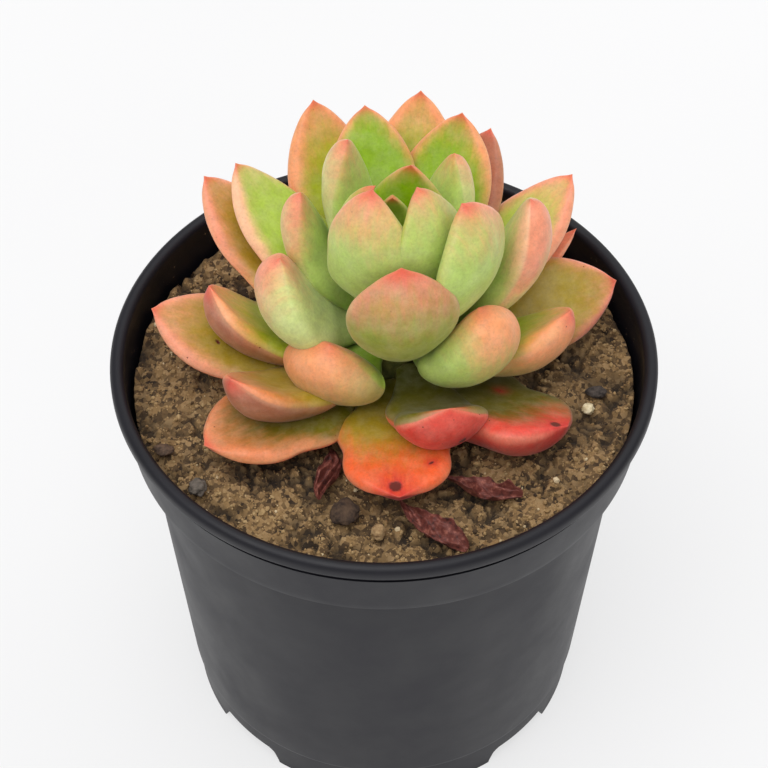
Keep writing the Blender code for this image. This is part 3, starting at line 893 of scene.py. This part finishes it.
def build_soil():
    """The rough top, and the skirt and underside that are hidden in the pot."""
    rows, sectors = 130, 520
    points, crack_shade = [(0.0, 0.0, ground(0, 0)[0])], [0.0]
    for i in range(1, rows + 1):
        r = SOIL_RADIUS * (i / rows) ** 0.8
        for a in np.linspace(0, math.tau, sectors, endpoint=False):
            x, y = r * math.cos(a), r * math.sin(a)
            height, pit = ground(x, y)
            points.append((x, y, height))
            crack_shade.append(pit)
    faces = [(0, 1 + k, 1 + (k + 1) % sectors) for k in range(sectors)]

    def band(outer, inner):
        """Faces between two rings, given by their first points."""
        return [
            (outer + k, inner + k, inner + (k + 1) % sectors, outer + (k + 1) % sectors)
            for k in range(sectors)
        ]

    for i in range(rows - 1):
        faces += band(1 + i * sectors, 1 + (i + 1) * sectors)
    under = FLOOR_Z + 1.2 * MM
    start = 1 + (rows - 1) * sectors
    for r, z in [(BODY_TOP - WALL - 0.3 * MM, STEP_Z), (body_radius(FLOOR_Z) - WALL - 0.5 * MM, under)]:
        faces += band(start, len(points))
        start = len(points)
        points += circle(r, z, sectors)
    points.append((0.0, 0.0, under))
    faces += [(start + k, len(points) - 1, start + (k + 1) % sectors) for k in range(sectors)]
    crack_shade += [0.0] * (len(points) - len(crack_shade))
    piece("soil_bed", points, faces, soil_material(), ("soil",), {"pit": crack_shade})


build_soil()


def grains(name, count, small, large, material, shade):
    """Angular grains scattered over the soil."""
    bm = bmesh.new()
    bmesh.ops.create_icosphere(bm, subdivisions=1, radius=1.0)
    ball = np.array([v.co[:] for v in bm.verts])
    tris = np.array([[v.index for v in f.verts] for f in bm.faces])
    bm.free()
    all_points, all_faces, tones_with_crack_shade = [], [], []
    for k in range(count):
        r = (SOIL_RADIUS - 0.6 * MM) * math.sqrt(RANDOM.random())
        a = RANDOM.random() * math.tau
        x, y = r * math.cos(a), r * math.sin(a)
        height, pit = ground(x, y)
        size = (small + (large - small) * RANDOM.random() ** 2.4) * (1 - 0.6 * min(1.0, 1.6 * pit))
        squash = RANDOM.uniform(0.55, 1.0, 3)
        spin = np.linalg.qr(RANDOM.normal(size=(3, 3)))[0]
        rough = RANDOM.uniform(0.78, 1.16, (len(ball), 1))
        lump = (ball * rough * squash * size / 2) @ spin.T
        sink = size * RANDOM.uniform(-0.10, 0.28)
        all_faces.append(tris + len(ball) * k)
        all_points.append(lump + np.array([x, y, height + sink]))
        # grains down in the cracks are darkened as painted shade
        tones_with_crack_shade.append(np.full(len(ball), shade(x, y) * (1 - 0.85 * pit)))
    return piece(
        name, np.concatenate(all_points), np.concatenate(all_faces).tolist(), material,
        attributes={"tone": np.concatenate(tones_with_crack_shade)}, flat=True,
    )


def shade_of(x, y):
    """Mostly tan grains, with a few dark and a few pale ones, and darker damp patches."""
    damp = noise.noise(Vector((x, y, 3 * MM)) / (6 * MM))
    kind = RANDOM.random()
    spread = RANDOM.normal(0.0, 0.07)
    middle = 0.14 if kind < 0.10 else 0.92 if kind > 0.97 else 0.60
    return float(np.clip(middle + spread + 0.20 * min(damp, 0.1), 0, 1))


grit = grit_material()
grains("grit_fine", 9500, 0.30 * MM, 0.85 * MM, grit, shade_of)
grains("grit_crumbs", 3600, 0.5 * MM, 1.3 * MM, grit, shade_of)
grains("grit_coarse", 260, 1.2 * MM, 2.3 * MM, grit, shade_of)


# ---- stem, stones and dried leaves ----
def stem_material():
    n = Nodes("stem_skin")
    colour = n.ramp(n.noise(2.5 * MM, 4.0, 0.6), [(0.3, srgb(70, 78, 30)), (0.7, srgb(126, 128, 62))])
    return n.finish(Base_Color=colour, Roughness=0.7, Normal=n.bump(n.noise(1 * MM, 3.0), 0.3 * MM, 0.6))


NODES["stem"].data.materials.clear()
NODES["stem"].data.materials.append(stem_material())


def stone_material(name, dark, light, rough):
    n = Nodes(name)
    colour = n.ramp(n.noise(1.1 * MM, 5.0, 0.65), [(0.3, dark), (0.7, light)])
    return n.finish(Base_Color=colour, Roughness=rough, Normal=n.bump(n.noise(0.5 * MM, 4.0), 0.2 * MM, 0.8))


STONE_SINK = 0.5 * MM  # into the loose grit


def stone(name, dark, light, rough):
    """A rough lump as large as the CAD one that it replaces."""
    low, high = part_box(name)
    centre, size = (low + high) / 2, (high - low) / 2
    bm = bmesh.new()
    bmesh.ops.create_icosphere(bm, subdivisions=4, radius=1.0)
    points = []
    for v in bm.verts:
        q = v.co * 1.4 + centre * 900
        lump = 0.86 + 0.22 * noise.noise(q) + 0.12 * noise.noise(q * 2.7) + 0.05 * noise.noise(q * 7)
        x, y, z = (centre[k] + v.co[k] * size[k] * lump for k in range(3))
        points.append((x, y, z - STONE_SINK))
    faces = [[v.index for v in f.verts] for f in bm.faces]
    bm.free()
    piece(name + "_body", points, faces, stone_material(name + "_stone", dark, light, rough), (name,))


stone("pebble_cream", srgb(196, 176, 132), srgb(236, 222, 188), 0.6)
stone("pebble_grey", srgb(62, 56, 50), srgb(112, 102, 92), 0.8)
stone("pebble_brown", srgb(60, 44, 34), srgb(104, 80, 62), 0.8)
stone("crumb_dark", srgb(44, 32, 26), srgb(86, 66, 50), 0.95)
stone("crumb_tan", srgb(130, 100, 66), srgb(180, 150, 108), 0.95)
stone("bark_chip", srgb(36, 30, 28), srgb(84, 74, 68), 0.85)


def dried_material(name):
    n = Nodes(name)
    vein = n.noise(1.2 * MM, 4.0, 0.6)
    colour = n.ramp(vein, [(0.30, srgb(58, 26, 23)), (0.50, srgb(108, 52, 43)), (0.72, srgb(164, 100, 84))])
    return n.finish(
        Base_Color=colour, Roughness=0.62, Normal=n.bump(n.noise(0.7 * MM, 4.0, 0.6), 0.25 * MM, 0.7)
    )


def dried(name, seed):
    """A thin crumpled dry leaf in place of a CAD one, lying along its longer side."""
    node = NODES[name]
    spots = np.array([v.co[:] for v in node.data.vertices])
    centre = (spots.min(0) + spots.max(0)) / 2
    flat = spots[:, :2] - spots[:, :2].mean(0)
    heading = np.linalg.svd(flat, full_matrices=False)[2][0]
    aside = np.array([-heading[1], heading[0]])
    long = np.ptp(flat @ heading) / 2 * 1.3
    wide = np.ptp(flat @ aside) / 2 * 1.15
    nu, nv = 84, 44  # steps along and across
    thick = 0.22 * MM
    points = []
    for side in (0, 1):
        for i in range(nu + 1):
            for j in range(nv + 1):
                u, v = 2 * i / nu - 1, 2 * j / nv - 1
                torn = 0.22 * noise.noise(Vector((u * 4 + seed, 2 * round(v), 0.0)))
                narrow = 0.10 + 0.90 * max(0.0, 1 - abs(u) ** 1.7) ** 0.8 * (1 + torn)
                a, b = u * long, v * wide * narrow
                fold = noise.noise(Vector((v * 1.5 + 0.9 * u, u * 1.6, seed * 3.0)))
                pleat = 1.2 * MM * (1 - 2.4 * abs(fold)) * narrow
                crinkle = 0.35 * MM * noise.noise(Vector((a, b, seed * MM * 9)) / (1.3 * MM))
                curl = 1.5 * MM * abs(v) ** 2.5 * narrow + 1.2 * MM * max(0.0, u) ** 3
                twist = 0.7 * u * b
                bend = 0.9 * MM * math.sin(2.2 * u + seed)
                x, y = centre[:2] + heading * a + aside * (b * (1 - 0.30 * abs(v)) + bend)
                level = centre[2] - 1.6 * MM + pleat + crinkle + curl + twist
                points.append((x, y, level - thick * side))
    grid = (nu + 1) * (nv + 1)
    faces = []
    for i in range(nu):
        for j in range(nv):
            a = i * (nv + 1) + j
            quad = (a, a + nv + 1, a + nv + 2, a + 1)
            faces.append(quad)
            faces.append(tuple(grid + k for k in reversed(quad)))
    rim = [i * (nv + 1) for i in range(nu)] + [nu * (nv + 1) + j for j in range(nv)]
    rim += [i * (nv + 1) + nv for i in range(nu, 0, -1)] + [j for j in range(nv, 0, -1)]
    for a, b in zip(rim, rim[1:] + rim[:1]):
        faces.append((b, a, grid + a, grid + b))
    piece(name + "_sheet", points, faces, dried_material(name + "_skin"), (name,))


for k in range(3):
    dried(f"dried_leaf_{k + 1}", k + 1)

# ---- floor, light and camera ----
FLOOR_HALF = 3  # metres
CORNERS = [(-FLOOR_HALF, -FLOOR_HALF, 0), (FLOOR_HALF, -FLOOR_HALF, 0)]
CORNERS += [(FLOOR_HALF, FLOOR_HALF, 0), (-FLOOR_HALF, FLOOR_HALF, 0)]
mesh = bpy.data.meshes.new("floor")
mesh.from_pydata(CORNERS, [], [(0, 1, 2, 3)])
floor = bpy.data.objects.new("floor", mesh)
bpy.context.scene.collection.objects.link(floor)
n = Nodes("floor_paper")
paper = n.ramp(n.noise(0.2, 2.0), [(0.3, srgb(138, 138, 139)), (0.7, srgb(141, 141, 142))])
white = (1.0, 1.0, 1.0, 1.0)
mesh.materials.append(
    n.finish(Base_Color=paper, Roughness=0.9, Emission_Color=white, Emission_Strength=0.63)
)

world = bpy.data.worlds.new("studio")
bpy.context.scene.world = world
world.use_nodes = True
backing = world.node_tree.nodes["Background"]
backing.inputs["Color"].default_value = white
# the light is softer than the pale wall that is seen behind the floor
AMBIENT, WALL_SEEN = 0.45, 0.92
seen = world.node_tree.nodes.new("ShaderNodeLightPath")
strength = world.node_tree.nodes.new("ShaderNodeMapRange")
strength.inputs["To Min"].default_value = AMBIENT
strength.inputs["To Max"].default_value = WALL_SEEN
world.node_tree.links.new(seen.outputs["Is Camera Ray"], strength.inputs["Value"])
world.node_tree.links.new(strength.outputs["Result"], backing.inputs["Strength"])


def sun(name, toward, spread, strength):
    """Light from a broad patch of studio ceiling; toward points from the object to its middle."""
    light = bpy.data.lights.new(name, "SUN")
    light.angle = math.radians(spread)
    light.energy = strength
    made = bpy.data.objects.new(name, light)
    made.rotation_euler = (-Vector(toward)).to_track_quat("-Z", "Y").to_euler()
    bpy.context.scene.collection.objects.link(made)


sun("key", (-0.25, -0.25, 1.0), 55, 1.75)
sun("front", (0.40, -0.8, 0.9), 80, 0.35)
sun("rear", (0.40, 0.6, 1.0), 70, 0.7)

camera = bpy.data.cameras.new("camera")
camera.lens = 103.125
camera.sensor_width = 36.0
camera.clip_start = 0.01
eye = bpy.data.objects.new("camera", camera)
ELEVATION, DISTANCE, AIM_Z = math.radians(49.4), 0.4295, 0.0846
eye.location = (0.0, -DISTANCE * math.cos(ELEVATION), AIM_Z + DISTANCE * math.sin(ELEVATION))
eye.rotation_euler = (math.pi / 2 - ELEVATION, 0.0, 0.0)
bpy.context.scene.collection.objects.link(eye)
bpy.context.scene.camera = eye
bpy.context.scene.view_settings.view_transform = "Standard"
